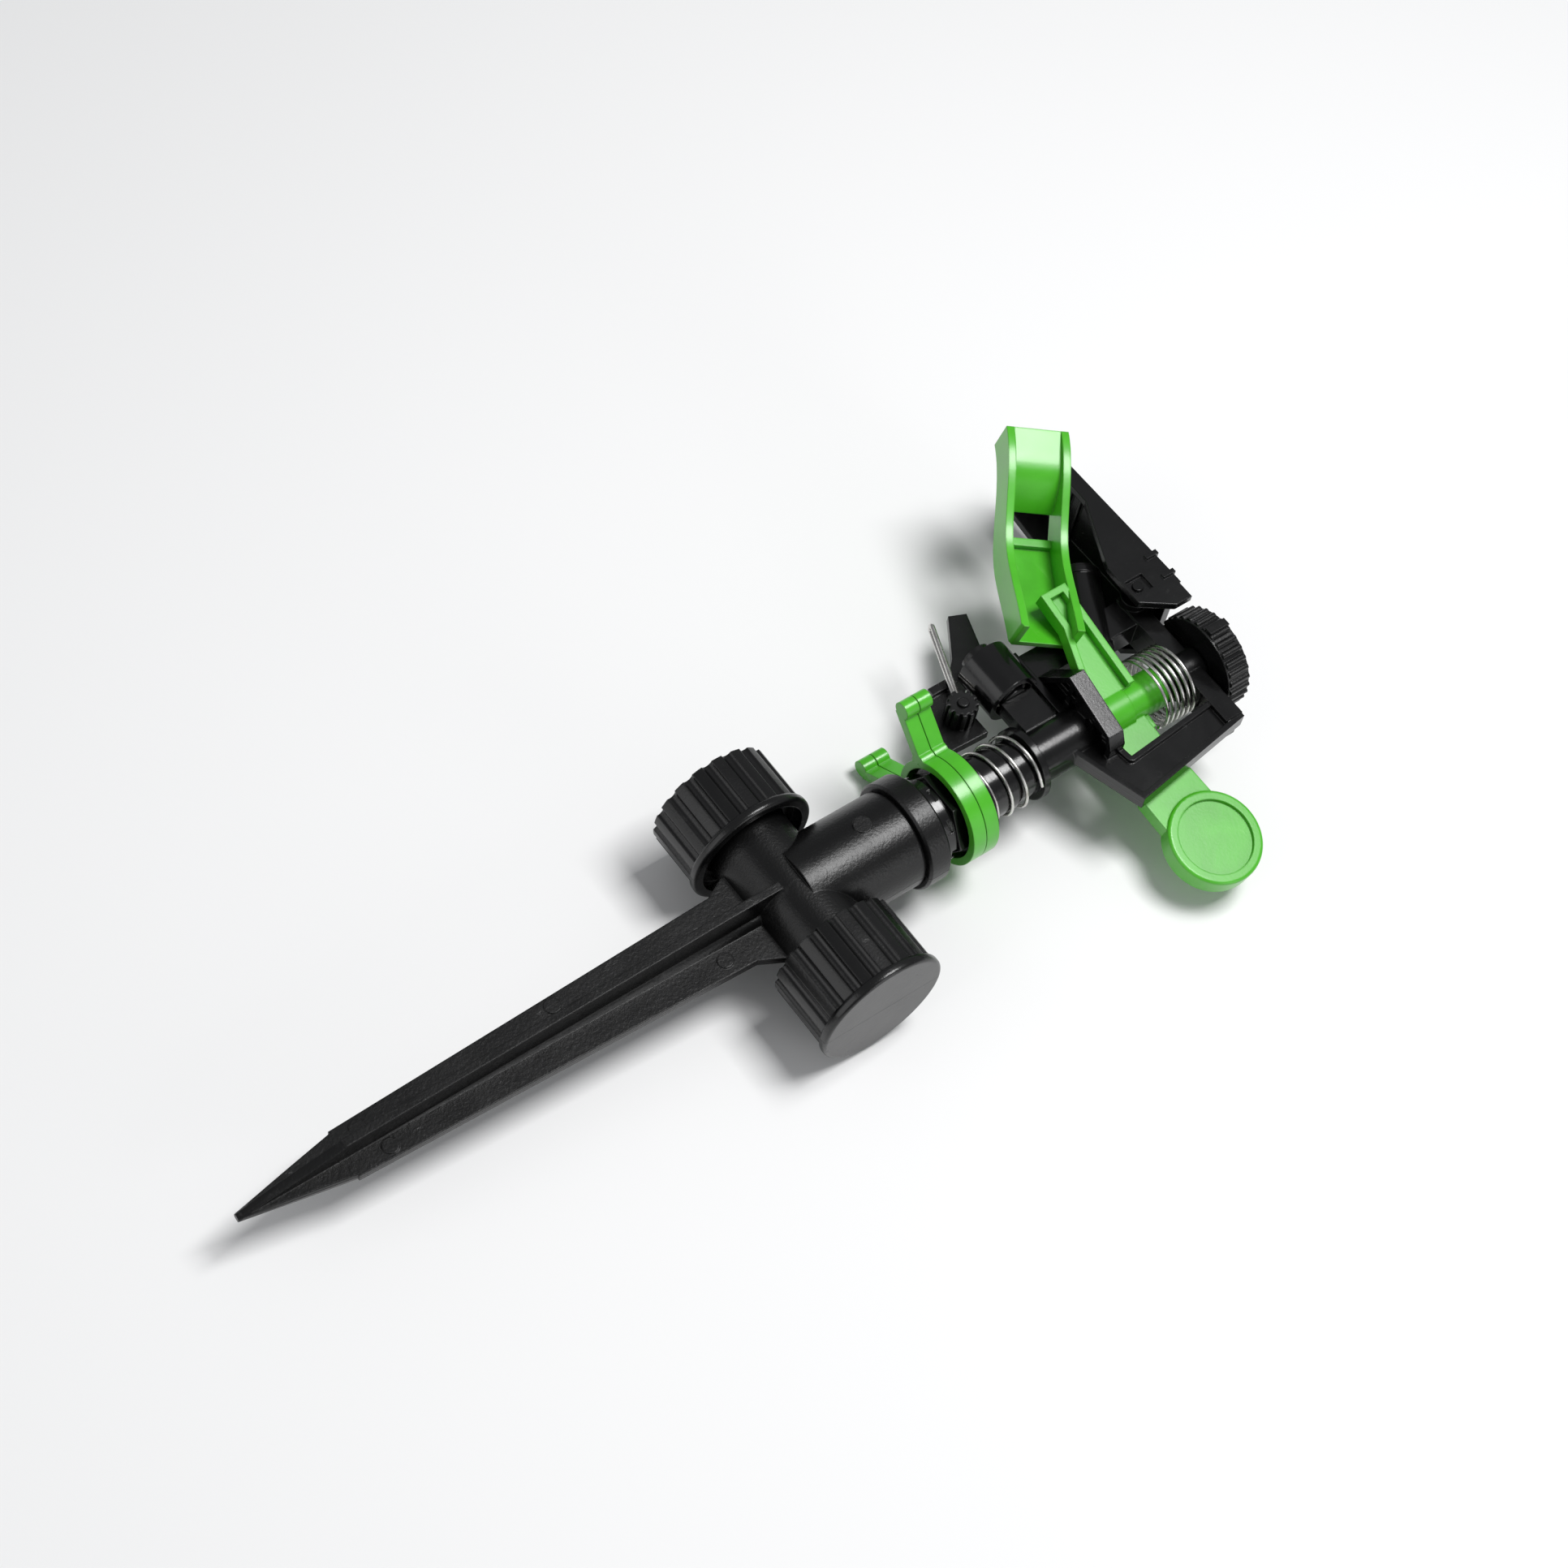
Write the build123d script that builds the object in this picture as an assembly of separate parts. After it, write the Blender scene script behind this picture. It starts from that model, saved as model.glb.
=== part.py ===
"""Part-circle impulse sprinkler on a ground spike.

The spike stands upright along Z and the hose line runs along X. The hose line and the
riser cross at the origin. The swivel hose nut is at -X and the end cap at +X. The head
turns on the riser: the nozzle throws towards -X and the hammer arm swings about Z.
All sizes are in millimetres and angles in degrees.
"""
from build123d import *
import os
from math import cos, radians, sin

# ---- clearances ----
RUN_GAP = 0.06          # radial gap of a running fit: a shaft in its bore
FREE_GAP = 0.35         # gap between moving faces that only pass each other
SEAT_GAP = 0.1          # gap beside a part that sits still in its seat

# ---- hose line and riser ----
TUBE_R = 12.0           # outside of the hose tube between the caps
TUBE_BORE_R = 9.0       # water way through the hose tube
HOSE_THREAD_R = 13.2    # 3/4 inch hose thread
INLET_END_X = -26.0     # tube end inside the hose nut
OUTLET_END_X = 33.0     # tube end inside the end cap
LIP_LEN = 2.4           # lip that holds the hose nut
LIP_R = 12.85
RISER_R = 13.8
RISER_TOP_Z = 40.5
COLLAR_R = 15.5
COLLAR_LEN = 7.0
COLLAR_GROOVE = 0.8
RISER_BORE_R = 10.6     # seat of the bearing nipple
RISER_BORE_LEN = 23.0

# ---- spike ----
SPIKE_LEN = 164.0       # tip below the hose line
POINT_LEN = 29.5        # sharp end
RIB_T = 2.4
RIB_SHOULDER_R = 7.0    # half width where the point begins
RIB_TOP_R = 10.8        # half width under the hose tube
RIB_FOOT_R = 15.0       # half width where the side ribs meet the tube
RIB_TOP_Z = -19.0
EJECTOR_R = 2.2
EJECTOR_H = 0.25

# ---- caps on the hose line ----
CAP_R = 17.8
CAP_FLANGE_R = 18.6
CAP_FLANGE_LEN = 2.8
CAP_SCALLOPS = 18
SCALLOP_R = 1.7
END_CAP_START_X = 17.0
END_CAP_LEN = 22.0
END_CAP_FLOOR = 3.0
NUT_START_X = -17.0
NUT_LEN = 19.5
NUT_SHOULDER_X = -20.6  # inner shoulder that rests behind the lip
WASHER_T = 2.0
WASHER_HOLE_R = 8.0

# ---- bearing nipple, clips and stem ----
STEM_R = 7.0
STEM_BORE_R = 5.0
GASKET_T = 0.8
CROWN_R = 12.3          # castellated ring above the riser
CROWN_LEN = 3.2
CROWN_NOTCHES = 8
NIPPLE_GROOVE_LEN = 1.4
HEX_ACROSS_CORNERS = 25.2
HEX_LEN = 4.4
DRUM_R = 12.4           # drum that the stop clips grip
CLIP_T = 4.1
CLIP_GAP = 0.25
CLIP_R = 15.4
CLIP_WALL = 2.2
CLIP_WING_ANGLES = (147.0, 223.0)
CLIP_WING_REACH = (34.0, 30.0)
CLIP_WING_T = 3.0
CLIP_ROLL_R = 2.5
NIPPLE_RIM_LEN = 1.0
NIPPLE_SHANK_LEN = 16.0
STEM_FLANGE_R = 9.6
STEM_FLANGE_LEN = 2.0
THRUST_T = 0.9
THRUST_GAP = 0.15

# ---- spring round the stem ----
SLEEVE_R = 9.1
SLEEVE_STEP_R = 8.4
STEM_SPRING_WIRE = 1.0
STEM_SPRING_LEN = 17.2
STEM_SPRING_TURNS = 3.4
BODY_FLANGE_R = 10.4
BODY_FLANGE_LEN = 2.0

# ---- heights of the stack on the riser, bottom to top ----
crown_z = RISER_TOP_Z + GASKET_T
hex_z = crown_z + CROWN_LEN + NIPPLE_GROOVE_LEN
CLIP_SEAT_Z = hex_z + HEX_LEN - 2.4
clip_z = (CLIP_SEAT_Z, CLIP_SEAT_Z + CLIP_T + CLIP_GAP)
drum_top = clip_z[1] + CLIP_T + 0.3
sleeve_z = drum_top + NIPPLE_RIM_LEN + 0.4
body_z = sleeve_z + STEM_SPRING_LEN + STEM_SPRING_WIRE + 0.1

# ---- head frame ----
NECK_R = 7.6            # body above the flange
NECK_LEN = 24.65        # from the flange face to the top of the platform
FRAME_H = 30.0          # clear height between the platform and the top bar
PLATFORM_Z = body_z + NECK_LEN
PLATFORM_T = 2.0
PLATFORM_DEPTH = 5.0
RIM_T = 1.6
FRAME_FRONT_Y = -4.5
POST_BACK_Y = 0.0
TOP_BAR_Z = PLATFORM_Z + FRAME_H
TOP_BAR_T = 5.7
TOP_BAR_HALF_W = 5.0
REAR_LOW_X = 28.0
REAR_HIGH_X = 22.0
WINDOW_LOW_X = 15.5
WINDOW_HIGH_X = 13.0
FRONT_POST_X = -17.0
FRONT_POST_W = 9.0
FRONT_POST_HALF_T = 4.5
NECK_BOTTOM_Z = PLATFORM_Z - 6.8

# ---- nozzle ----
JET_ANGLE = 30.0
NOZZLE_ROOT = (-20.0, PLATFORM_Z + 17.0)
NOZZLE_LEN = 24.0
NOZZLE_R = 6.2
NOZZLE_BORE_R = 4.4
TIP_LEN = 7.0
TIP_LIP_R = 5.4
ORIFICE_R = 2.0

# ---- arm ----
ARM_ANGLE = 12.0        # rest angle of the arm from the frame
AXLE_R = 2.0
HUB_LOW_R = 6.4
HUB_HIGH_R = 5.9
HUB_STEP_Z = PLATFORM_Z + 11.0
HUB_TOP_Z = TOP_BAR_Z - 7.0
ARM_WASHER_T = 0.5
TAIL_T = 4.4
DISC_R = 13.6
DISC_T = 6.6
DISC_RADIUS = 44.0      # disc centre from the axle
DISC_Z = PLATFORM_Z + 10.0
DISC_RECESS_R = 10.8
DISC_RECESS = 1.0
SPOON_ANGLE = 33.0
SPOON_BASE_Z = PLATFORM_Z - 15.8  # height where the spoon's middle line meets the axle
SPOON_HALF_W = 9.0
SPOON_WALL = 2.2
SPOON_START = 30.0
SPOON_END = 92.0
WEB_END = 63.0
VANE_START = 72.0
LINK_LOW_Z = PLATFORM_Z + 1.0
LINK_HIGH_Z = PLATFORM_Z + 14.5
LINK_DEPTH = 4.6
LINK_WALL = 2.0
LINK_REACH = 36.0
LINK_TAPER = 5.0        # rise of the link's lower edge towards the spoon
ARM_SPRING_R = 10.4     # mean radius of the arm spring
ARM_SPRING_WIRE = 1.0
ARM_SPRING_TURNS = 6.0
ARM_SPRING_Z = TOP_BAR_Z - 13.4
ARM_SPRING_LEN = 11.6
ANCHOR_CORNERS = 12.0
ANCHOR_LEN = 6.0

# ---- diffuser flap and range knob ----
PIN_X = -23.7
PIN_Z = TOP_BAR_Z + 3.8
FLAP_PIN_R = 1.5
FLAP_HALF_W = 12.0
FLAP_WALL = 2.2
FLAP_ROOF_T = 2.6
FLAP_ROOF_Z = TOP_BAR_Z + 15.0
FLAP_END_X = -79.0
FLAP_REAR_X = -13.0
KNOB_R = 14.8
KNOB_T = 7.4
KNOB_GAP = 2.0
KNOB_RIBS = 30
KNOB_POST_R = 3.0
KNOB_SCREW_HEAD_R = 4.2

# ---- trip mechanism ----
TRIP_Y = -4.0
TRIP_Z = body_z + 9.65
TRIP_R = 8.0
TRIP_START_X = -30.0
TRIP_END_X = -16.0
TRIP_CUP_R = 6.0
PLUNGER_R = 4.0
TRIP_PIN_R = 1.5
LEVER_T = 2.5
LEVER_Y = 1.6
LEVER_BOTTOM_Z = TRIP_Z - 21.5
RATCHET_R = 4.4
RATCHET_X = -21.5
RATCHET_Z = TRIP_Z - TRIP_R - RATCHET_R - 1.0  # clears the barrel
RATCHET_LEN = 6.8
RATCHET_TEETH = 12
WIRE_D = 1.4
WIRE_LEN = 28.0
WIRE_GAP = 2.3
WIRE_ANGLE = 21.0       # rest angle above the horizontal


def rod(r, z0, z1, x=0.0, y=0.0):
    """Cylinder along Z from z0 to z1."""
    return Pos(x, y, (z0 + z1) / 2) * Cylinder(r, z1 - z0)


def rod_x(r, x0, x1, y=0.0, z=0.0):
    """Cylinder along X from x0 to x1."""
    return Pos((x0 + x1) / 2, y, z) * Rot(0, 90, 0) * Cylinder(r, x1 - x0)


def rod_y(r, y0, y1, x=0.0, z=0.0):
    """Cylinder along Y from y0 to y1."""
    return Pos(x, (y0 + y1) / 2, z) * Rot(90, 0, 0) * Cylinder(r, y1 - y0)


def block(x0, x1, y0, y1, z0, z1):
    """Box between two corners."""
    return Pos((x0 + x1) / 2, (y0 + y1) / 2, (z0 + z1) / 2) * Box(x1 - x0, y1 - y0, z1 - z0)


def slab_xz(points, y0, y1, shrink=0.0):
    """Plate in the XZ plane between y0 and y1, its outline moved in by shrink."""
    face = make_face(Polyline(*[(x, z) for x, z in points], close=True))
    if shrink:
        face = offset(face, amount=-shrink)
    plane = Plane(origin=(0, y1, 0), x_dir=(1, 0, 0), z_dir=(0, -1, 0))
    return extrude(plane * face, y1 - y0)


def slab_xy(points, z0, z1, shrink=0.0):
    """Plate in the XY plane between z0 and z1, its outline moved in by shrink."""
    face = make_face(Polyline(*points, close=True))
    if shrink:
        face = offset(face, amount=-shrink)
    return extrude(Plane(origin=(0, 0, z0)) * face, z1 - z0)


def coil(radius, wire, z0, length, turns, start=0.0):
    """Round-wire helical spring standing on z0."""
    path = Helix(pitch=length / turns, height=length, radius=radius)
    start_plane = Plane(path @ 0, z_dir=path % 0)
    spring = sweep(start_plane * Circle(wire / 2), path=path, is_frenet=True)
    return Pos(0, 0, z0) * Rot(0, 0, start) * spring


def save(node, shape):
    """Write one node; a group of equal pieces stays a group of solids."""
    solids = shape.solids()
    part = solids[0] if len(solids) == 1 else Compound(children=list(solids))
    part.label = node
    export_step(part, f"parts/{node}.step")


os.makedirs("parts", exist_ok=True)

# ---- spike body: ribbed spike, hose tube and riser in one moulding ----
groove_z = RISER_TOP_Z - COLLAR_LEN
tube = rod_x(TUBE_R, INLET_END_X, OUTLET_END_X)
tube += rod_x(LIP_R, INLET_END_X, INLET_END_X + LIP_LEN)
tube += rod_x(HOSE_THREAD_R, END_CAP_START_X + 0.8, OUTLET_END_X)
riser = rod(RISER_R, 0, groove_z - COLLAR_GROOVE)
riser += rod(RISER_R - COLLAR_GROOVE, groove_z - COLLAR_GROOVE, groove_z)
collar = rod(COLLAR_R, groove_z, RISER_TOP_Z)
riser += chamfer(collar.edges().filter_by(GeomType.CIRCLE), 0.6)
spike_tip = -SPIKE_LEN
shoulder_z = spike_tip + POINT_LEN
side_rib = slab_xz([(-0.9, spike_tip), (0.9, spike_tip), (RIB_SHOULDER_R, shoulder_z),
                    (RIB_TOP_R, RIB_TOP_Z), (RIB_FOOT_R, -TUBE_R + 1.5), (RIB_FOOT_R, -TUBE_R / 2),
                    (-RIB_FOOT_R, -TUBE_R / 2), (-RIB_FOOT_R, -TUBE_R + 1.5),
                    (-RIB_TOP_R, RIB_TOP_Z), (-RIB_SHOULDER_R, shoulder_z)],
                   -RIB_T / 2, RIB_T / 2)
front_rib = Rot(0, 0, 90) * slab_xz([(-0.9, spike_tip), (0.9, spike_tip),
                                     (RIB_SHOULDER_R, shoulder_z), (RIB_TOP_R, RIB_TOP_Z),
                                     (RIB_TOP_R, -3), (-RIB_TOP_R, -3), (-RIB_TOP_R, RIB_TOP_Z),
                                     (-RIB_SHOULDER_R, shoulder_z)], -RIB_T / 2, RIB_T / 2)
point_cone = Pos(0, 0, spike_tip + POINT_LEN) * Cone(1.1, 12.0, 2 * POINT_LEN)
point_cone += rod(60, shoulder_z, 20)
ribs = (side_rib + front_rib) & point_cone
core = Pos(0, 0, (shoulder_z - 6) / 2) * Cone(1.7, 3.4, -shoulder_z - 6)
marks = [rod_y(EJECTOR_R, -RIB_T / 2 - EJECTOR_H, 0, x, z)
         for x, z in ((-4.2, -128.0), (4.2, -124.0), (6.4, -26.0), (-6.4, -70.0))]
spike_body = tube + riser + ribs + core + marks
spike_body += rod_y(2.6, -RISER_R - EJECTOR_H, -RISER_R + 1, -2.0, 22.0)
spike_body -= rod_x(TUBE_BORE_R, INLET_END_X - 1, OUTLET_END_X + 1)
spike_body -= rod(TUBE_BORE_R, 0, RISER_TOP_Z)
spike_body -= rod(RISER_BORE_R, RISER_TOP_Z - RISER_BORE_LEN, RISER_TOP_Z + 1)
save("spike_body", spike_body)


def scalloped(x0, x1, flange_x0, flange_x1):
    """Cap blank along X with finger scallops and a smooth flange."""
    blank = rod_x(CAP_R, x0, x1)
    for i in range(CAP_SCALLOPS):
        a = radians(360.0 * (i + 0.5) / CAP_SCALLOPS)
        reach = CAP_R + SCALLOP_R * 0.35
        blank -= rod_x(SCALLOP_R, x0 - 1, x1 + 1, reach * cos(a), reach * sin(a))
    flange = rod_x(CAP_FLANGE_R, flange_x0, flange_x1)
    outer = CAP_FLANGE_LEN * 0.35
    return blank + fillet(flange.edges().filter_by(GeomType.CIRCLE), outer)


# ---- end cap and its washer ----
cap_end = END_CAP_START_X + END_CAP_LEN
end_cap = scalloped(END_CAP_START_X, cap_end - 1.0, cap_end - CAP_FLANGE_LEN, cap_end)
end_cap -= rod_x(HOSE_THREAD_R + FREE_GAP, END_CAP_START_X - 1, cap_end - END_CAP_FLOOR)
save("end_cap", end_cap)
end_washer = rod_x(HOSE_THREAD_R, OUTLET_END_X + 0.3, cap_end - END_CAP_FLOOR)
end_washer -= rod_x(WASHER_HOLE_R, OUTLET_END_X, cap_end)
save("end_cap_washer", end_washer)

# ---- swivel hose nut and its washer ----
nut_end = NUT_START_X - NUT_LEN
lip_back = INLET_END_X + LIP_LEN
hose_nut = scalloped(nut_end, NUT_START_X - 1.0, NUT_START_X - CAP_FLANGE_LEN, NUT_START_X)
hose_nut -= rod_x(HOSE_THREAD_R, nut_end - 1, INLET_END_X)
hose_nut -= rod_x(HOSE_THREAD_R + 0.4, INLET_END_X - WASHER_T, lip_back + FREE_GAP)
hose_nut -= rod_x(TUBE_R + FREE_GAP, lip_back, NUT_START_X + 1)
hose_nut -= rod_x(CAP_R - 2.0, NUT_SHOULDER_X, NUT_START_X + 1)
save("hose_nut", hose_nut)
hose_washer = rod_x(LIP_R, INLET_END_X - WASHER_T, INLET_END_X)
hose_washer -= rod_x(WASHER_HOLE_R, INLET_END_X - WASHER_T - 1, INLET_END_X + 1)
save("hose_washer", hose_washer)

# ---- bearing nipple screwed into the riser ----
nipple = rod(RISER_BORE_R - SEAT_GAP, RISER_TOP_Z - NIPPLE_SHANK_LEN, crown_z)
crown = rod(CROWN_R, crown_z, crown_z + CROWN_LEN)
for i in range(CROWN_NOTCHES):
    notch = Pos(CROWN_R, 0, crown_z + CROWN_LEN) * Box(3.6, 3.6, 2.6)
    crown -= Rot(0, 0, 360.0 * i / CROWN_NOTCHES) * notch
nipple += crown
nipple += rod(RISER_BORE_R - 0.2, crown_z, hex_z + 0.5)
hexagon = RegularPolygon(HEX_ACROSS_CORNERS / 2, 6)
nipple += extrude(Plane(origin=(0, 0, hex_z)) * hexagon, HEX_LEN)
nipple += rod(DRUM_R, hex_z + HEX_LEN - 0.5, drum_top)
nipple += rod(CLIP_R - 1.6, drum_top, drum_top + NIPPLE_RIM_LEN)
nipple -= rod(STEM_R + RUN_GAP, 0, drum_top + 5)
save("bearing_nipple", nipple)
gasket = rod(CROWN_R, RISER_TOP_Z, crown_z) - rod(RISER_BORE_R, 0, crown_z + 1)
save("nipple_gasket", gasket)


def stop_clip(z0):
    """Ring with two finger wings, each with a rolled end."""
    clip = rod(CLIP_R, z0, z0 + CLIP_T)
    for angle, reach in zip(CLIP_WING_ANGLES, CLIP_WING_REACH):
        wing = block(CLIP_R - 1.5, reach, -CLIP_WING_T / 2, CLIP_WING_T / 2, z0, z0 + CLIP_T)
        wing += rod(CLIP_ROLL_R, z0, z0 + CLIP_T, reach, CLIP_WING_T / 2)
        wing += rod(CLIP_WING_T * 0.9, z0, z0 + CLIP_T, CLIP_R - 0.8, 0)
        clip += Rot(0, 0, angle) * wing
    return clip - rod(CLIP_R - CLIP_WALL, z0 - 1, z0 + CLIP_T + 1)


save("lower_stop_clip", stop_clip(clip_z[0]))
save("upper_stop_clip", stop_clip(clip_z[1]))

# ---- rotating stem, thrust washers, sleeve and spring ----
nipple_bottom = RISER_TOP_Z - NIPPLE_SHANK_LEN
stem_foot = nipple_bottom - 2 * THRUST_T - 3 * THRUST_GAP - STEM_FLANGE_LEN
stem = rod(STEM_R, stem_foot, body_z)
stem += rod(STEM_FLANGE_R, stem_foot, stem_foot + STEM_FLANGE_LEN)
stem -= rod(STEM_BORE_R, stem_foot - 1, body_z + 1)
save("stem_tube", stem)
thrust = []
for i in range(2):
    z0 = stem_foot + STEM_FLANGE_LEN + THRUST_GAP + i * (THRUST_T + THRUST_GAP)
    thrust.append(rod(STEM_FLANGE_R - 0.2, z0, z0 + THRUST_T) - rod(STEM_R + 0.2, z0 - 1, z0 + 3))
save("thrust_washers", Compound(children=thrust))
sleeve = rod(SLEEVE_R, sleeve_z, sleeve_z + STEM_SPRING_LEN * 0.62)
sleeve += rod(SLEEVE_STEP_R, sleeve_z + 1, body_z - 0.2)
sleeve -= rod(STEM_R + SEAT_GAP, sleeve_z - 1, body_z + 1)
save("spring_sleeve", sleeve)
stem_spring_r = SLEEVE_R + 0.25 + STEM_SPRING_WIRE / 2
save("stem_spring", coil(stem_spring_r, STEM_SPRING_WIRE, sleeve_z + STEM_SPRING_WIRE / 2,
                         STEM_SPRING_LEN, STEM_SPRING_TURNS, 200.0))

# ---- head body: neck, platform, frame, nozzle barrel ----
jet = (-cos(radians(JET_ANGLE)), sin(radians(JET_ANGLE)))
nozzle_plane = Plane(origin=(NOZZLE_ROOT[0], 0, NOZZLE_ROOT[1]), x_dir=(0, 1, 0),
                     z_dir=(jet[0], 0, jet[1]))


def along_jet(r, s0, s1):
    """Cylinder on the jet line between two distances from its root."""
    return nozzle_plane * (Pos(0, 0, (s0 + s1) / 2) * Cylinder(r, s1 - s0))


platform_low = PLATFORM_Z - PLATFORM_DEPTH
platform_line = [(-19.0, -3.0), (-8.0, -16.5), (10.5, -11.0), (12.5, -7.0), (12.5, 5.5),
                 (-17.0, 6.5)]
platform = slab_xy(platform_line, platform_low, PLATFORM_Z)
platform -= slab_xy(platform_line, platform_low - 1, PLATFORM_Z - PLATFORM_T, RIM_T)
platform += block(-12, 9, -RIM_T / 2 - 8, RIM_T / 2 - 8, platform_low + 1.5, PLATFORM_Z - 1)
platform += block(-8, -8 + RIM_T, -13, 0, platform_low + 1.5, PLATFORM_Z - 1)
platform += rod(3.4, platform_low + 0.5, PLATFORM_Z - 1, -1.0, -10.5)
frame_line = [(4.0, platform_low - 8.0), (REAR_LOW_X, platform_low - 0.2),
              (REAR_HIGH_X, TOP_BAR_Z + TOP_BAR_T), (FRONT_POST_X, TOP_BAR_Z + TOP_BAR_T),
              (FRONT_POST_X, TOP_BAR_Z), (WINDOW_HIGH_X, TOP_BAR_Z),
              (WINDOW_LOW_X, PLATFORM_Z + 0.6), (4.0, PLATFORM_Z - 1.0)]
frame = slab_xz(frame_line, FRAME_FRONT_Y, POST_BACK_Y)
frame -= slab_xz(frame_line, FRAME_FRONT_Y - 1, FRAME_FRONT_Y + 1.2, RIM_T)
neck = rod(BODY_FLANGE_R, body_z, body_z + BODY_FLANGE_LEN)
neck += rod(NECK_R, body_z, PLATFORM_Z - 1)
post_x0 = FRONT_POST_X - FRONT_POST_W
neck += block(post_x0, 0, -FRONT_POST_HALF_T, FRONT_POST_HALF_T, NECK_BOTTOM_Z, PLATFORM_Z)
post = block(post_x0, FRONT_POST_X, -FRONT_POST_HALF_T, FRONT_POST_HALF_T, NECK_BOTTOM_Z,
             TOP_BAR_Z + 1)
top_bar = block(post_x0 - 0.5, REAR_HIGH_X - 1, -TOP_BAR_HALF_W, TOP_BAR_HALF_W,
                TOP_BAR_Z, TOP_BAR_Z + TOP_BAR_T)
top_bar -= block(-11, REAR_HIGH_X - 3, RIM_T - TOP_BAR_HALF_W, TOP_BAR_HALF_W - RIM_T,
                 TOP_BAR_Z + TOP_BAR_T - 1.6, TOP_BAR_Z + TOP_BAR_T + 1)
pin_boss = rod_y(4.0, -TOP_BAR_HALF_W - 2.2, TOP_BAR_HALF_W + 2.2, PIN_X, PIN_Z)
knob_z = TOP_BAR_Z + TOP_BAR_T + KNOB_GAP
knob_post = rod(6.0, TOP_BAR_Z + 1, knob_z - FREE_GAP)
knob_post += rod(KNOB_POST_R, TOP_BAR_Z + 1, knob_z + KNOB_T + 0.3)
barrel = along_jet(NOZZLE_R, -2, NOZZLE_LEN)
barrel += along_jet(NOZZLE_R + 0.5, NOZZLE_LEN - 3.0, NOZZLE_LEN - 1.0)
bracket = block(-15.5, -5, TRIP_Y - 2.0, TRIP_Y + 3.0, TRIP_Z - 5.0, TRIP_Z + 5.5)
bracket += block(TRIP_START_X + 3, -5, TRIP_Y - 1.5, TRIP_Y + 1.5, TRIP_Z + TRIP_R - 1,
                 NECK_BOTTOM_Z + 1)
head_body = neck + platform + frame + post + top_bar + pin_boss + knob_post + barrel + bracket
head_body -= rod(STEM_R, body_z - 1, body_z)
head_body -= rod(STEM_BORE_R, body_z - 1, PLATFORM_Z - 5.0)
water_way = block(post_x0 + 3.2, 0, -2.0, 2.0, NECK_BOTTOM_Z + 1.6, PLATFORM_Z - 3.0)
water_way += block(post_x0 + 3.2, FRONT_POST_X - 1.8, -2.6, 2.6, PLATFORM_Z - 5.0,
                   NOZZLE_ROOT[1] + 1.0)
head_body -= water_way
head_body -= along_jet(NOZZLE_BORE_R, 0, NOZZLE_LEN + 1)
head_body -= along_jet(TIP_LIP_R + SEAT_GAP, NOZZLE_LEN - 1.2, NOZZLE_LEN + 1)
head_body -= rod(AXLE_R, PLATFORM_Z - 4, knob_z - 3)
head_body -= rod_y(FLAP_PIN_R, -20, 20, PIN_X, PIN_Z)
head_body -= rod_x(TRIP_R + SEAT_GAP, TRIP_START_X - 1, TRIP_END_X, TRIP_Y, TRIP_Z)
head_body -= rod(1.1, knob_z - 2.5, knob_z + KNOB_T + 2)
save("head_body", head_body)

# ---- nozzle tip pressed into the barrel ----
tip = along_jet(NOZZLE_BORE_R - SEAT_GAP, NOZZLE_LEN - TIP_LEN, NOZZLE_LEN)
tip += along_jet(TIP_LIP_R, NOZZLE_LEN - 1.2 + SEAT_GAP, NOZZLE_LEN + 0.6)
cone_plane = nozzle_plane * Pos(0, 0, NOZZLE_LEN - TIP_LEN / 2 - 0.8)
tip -= cone_plane * Cone(NOZZLE_BORE_R - 1.0, ORIFICE_R, TIP_LEN - 1.2)
tip -= along_jet(ORIFICE_R, NOZZLE_LEN - TIP_LEN - 1, NOZZLE_LEN + 2)
save("nozzle_tip", tip)

# ---- arm axle, washer and spring anchor ----
hub_z = PLATFORM_Z + ARM_WASHER_T + 0.1
anchor_top = TOP_BAR_Z
save("arm_axle", rod(AXLE_R, PLATFORM_Z - 4, TOP_BAR_Z + TOP_BAR_T - 1))
arm_washer = rod(4.6, PLATFORM_Z, PLATFORM_Z + ARM_WASHER_T)
save("arm_washer", arm_washer - rod(AXLE_R + SEAT_GAP, PLATFORM_Z - 5, PLATFORM_Z + 5))
anchor = extrude(Plane(origin=(0, 0, anchor_top - ANCHOR_LEN))
                 * RegularPolygon(ANCHOR_CORNERS / 2, 6), ANCHOR_LEN)
anchor += rod(ANCHOR_CORNERS / 2 + 0.9, anchor_top - 1.4, anchor_top)
save("spring_anchor", anchor - rod(AXLE_R + SEAT_GAP, PLATFORM_Z, TOP_BAR_Z + 5))

# ---- arm: hub, link, spoon, tail and counterweight disc ----
a = radians(ARM_ANGLE)
out = (-cos(a), -sin(a))            # from the axle towards the spoon
arm_plane = Plane(origin=(0, 0, 0), x_dir=(out[0], out[1], 0), z_dir=(-sin(a), cos(a), 0))
e = radians(SPOON_ANGLE)
spoon_plane = Plane(origin=(0, 0, SPOON_BASE_Z),
                    x_dir=(out[0] * cos(e), out[1] * cos(e), sin(e)),
                    z_dir=(-out[0] * sin(e), -out[1] * sin(e), cos(e)))


def arm_plate(points, side0, side1):
    """Upright plate of the arm; points are (reach, height), side is towards the front."""
    face = make_face(Polyline(*points, close=True))
    return extrude(arm_plane * (Pos(0, 0, -side1) * face), side1 - side0)


def spoon_slab(face_edges, w0, w1):
    """Plate across the spoon between two widths, from edges in (along, front) axes."""
    face = make_face(face_edges)
    return extrude(spoon_plane * (Pos(0, 0, w0) * face), w1 - w0)


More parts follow.
